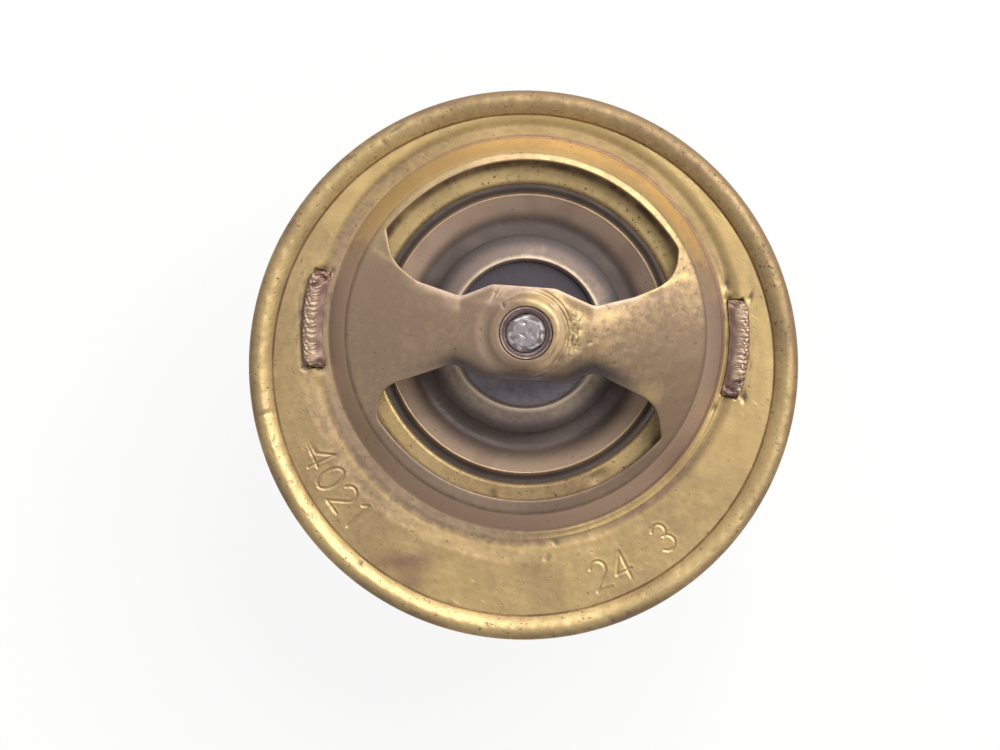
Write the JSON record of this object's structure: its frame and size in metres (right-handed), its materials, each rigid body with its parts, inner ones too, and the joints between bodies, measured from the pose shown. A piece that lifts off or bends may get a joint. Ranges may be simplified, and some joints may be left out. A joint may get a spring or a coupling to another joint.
{
  "type": "engine thermostat",
  "caption": "Round flanged brass engine thermostat with a domed bridge, a sprung wax-driven valve and a strap frame below.",
  "frame": {"origin": "centre of the flange's rim, at mid height of its straight side", "axes": "+Z along the rim's axis, up through the dome; +X through the two staked tabs; the valve's axis is 3.1 mm from the origin along +Y"},
  "size_m": [0.054, 0.054, 0.0366],
  "materials": {
    "bridge_brass": "satin, lightly tarnished",
    "seat_brass": "satin, lightly tarnished",
    "frame_brass": "dull, tarnished",
    "disc_brass": "satin, tarnished",
    "cup_brass": "satin, tarnished",
    "guide_brass": "turned, tarnished",
    "piston_steel": "ground",
    "sleeve_copper": "reddish copper",
    "spring_steel": "drawn wire",
    "wax": "waxy",
    "boot_rubber": "matt",
    "washer_plastic": "smooth",
    "wiper_rubber": "matt"
  },
  "bodies": {
    "root": {"bridge_plate": "bridge_brass", "seat_plate": "seat_brass", "lower_frame": "frame_brass", "piston": "piston_steel", "hub_sleeve": "sleeve_copper", "main_spring": "spring_steel"},
    "valve": {"valve_disc": "disc_brass", "element_cup": "cup_brass", "piston_guide": "guide_brass", "rubber_boot": "boot_rubber", "wax_charge": "wax", "backup_washer": "washer_plastic", "wiper_seal": "wiper_rubber"}
  },
  "joints": [
    {"name": "valve_lift", "type": "slide", "parent": "root", "child": "valve", "axis": [0, 0, -1], "range_m": [0, 0.008], "stiffness_N_per_m": 5000, "springref_m": -0.01, "deforming": ["main_spring"]}
  ]
}
